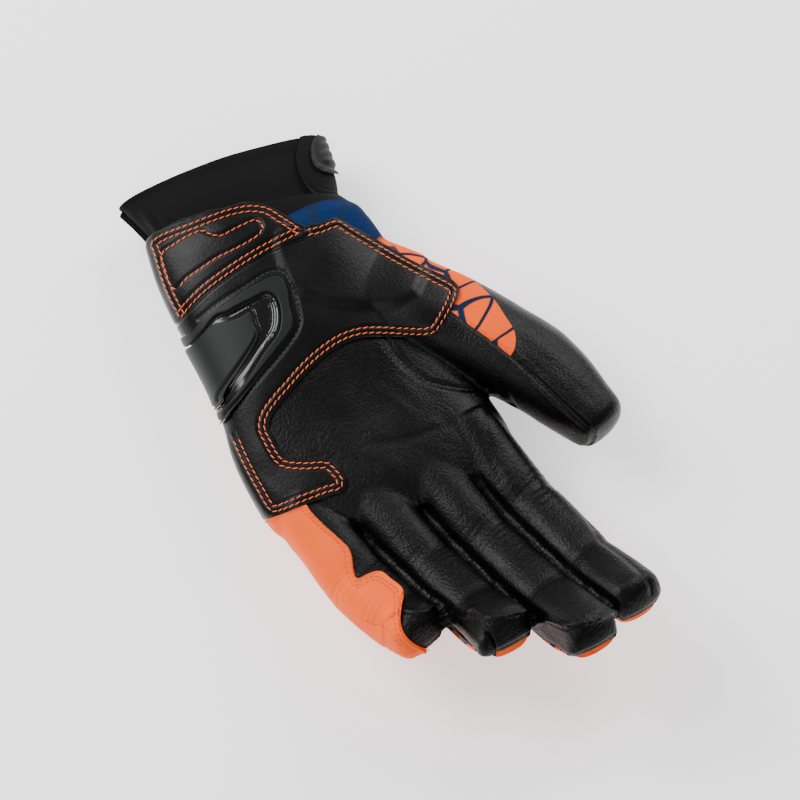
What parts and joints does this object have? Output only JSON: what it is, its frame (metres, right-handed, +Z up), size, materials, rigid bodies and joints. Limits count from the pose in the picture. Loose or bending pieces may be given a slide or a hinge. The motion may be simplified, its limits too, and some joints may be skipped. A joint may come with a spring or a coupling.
{
  "type": "motorcycle glove",
  "caption": "Short-cuff leather motorcycle glove for the left hand, lying on its back, with stitched palm overlays, a palm slider, printed cloth back and a wrist strap.",
  "frame": {"origin": "middle of the underside of the glove's bounding box, on the surface that it lies on", "axes": "+Z up, out of the palm; the fingers point to -Y and the cuff's mouth to +Y; the thumb is on the +X side"},
  "size_m": [0.1512, 0.2868, 0.0698],
  "materials": {
    "black_leather": "black pebble-grained goat leather, semi-matt",
    "orange_leather": "orange dyed leather, fine grain, matt",
    "print_cloth": "orange and blue printed stretch cloth with navy lines",
    "cuff_band": "black stretch neoprene with a smooth face",
    "strap_band": "black hook-and-loop strap with a fuzzy edge",
    "grip_rubber": "charcoal moulded rubber, ribbed",
    "slider_matte": "charcoal moulded plastic, finely textured",
    "slider_gloss": "black moulded plastic, glossy"
  },
  "bodies": {
    "root": {"palm_leather": "black_leather", "thumb_leather": "black_leather", "thumb_cap": "black_leather", "middle_tip": "black_leather", "ring_tip": "black_leather", "little_tip": "black_leather", "wrist_overlay": "black_leather", "heel_overlay": "black_leather", "side_patch": "orange_leather", "back_cloth": "print_cloth", "wrist_gusset": "print_cloth", "cuff": "cuff_band", "wrist_strap": "strap_band", "strap_grip": "grip_rubber", "slider_frame": "slider_matte", "slider_plate": "slider_matte", "slider_band": "slider_gloss"}
  },
  "joints": []
}
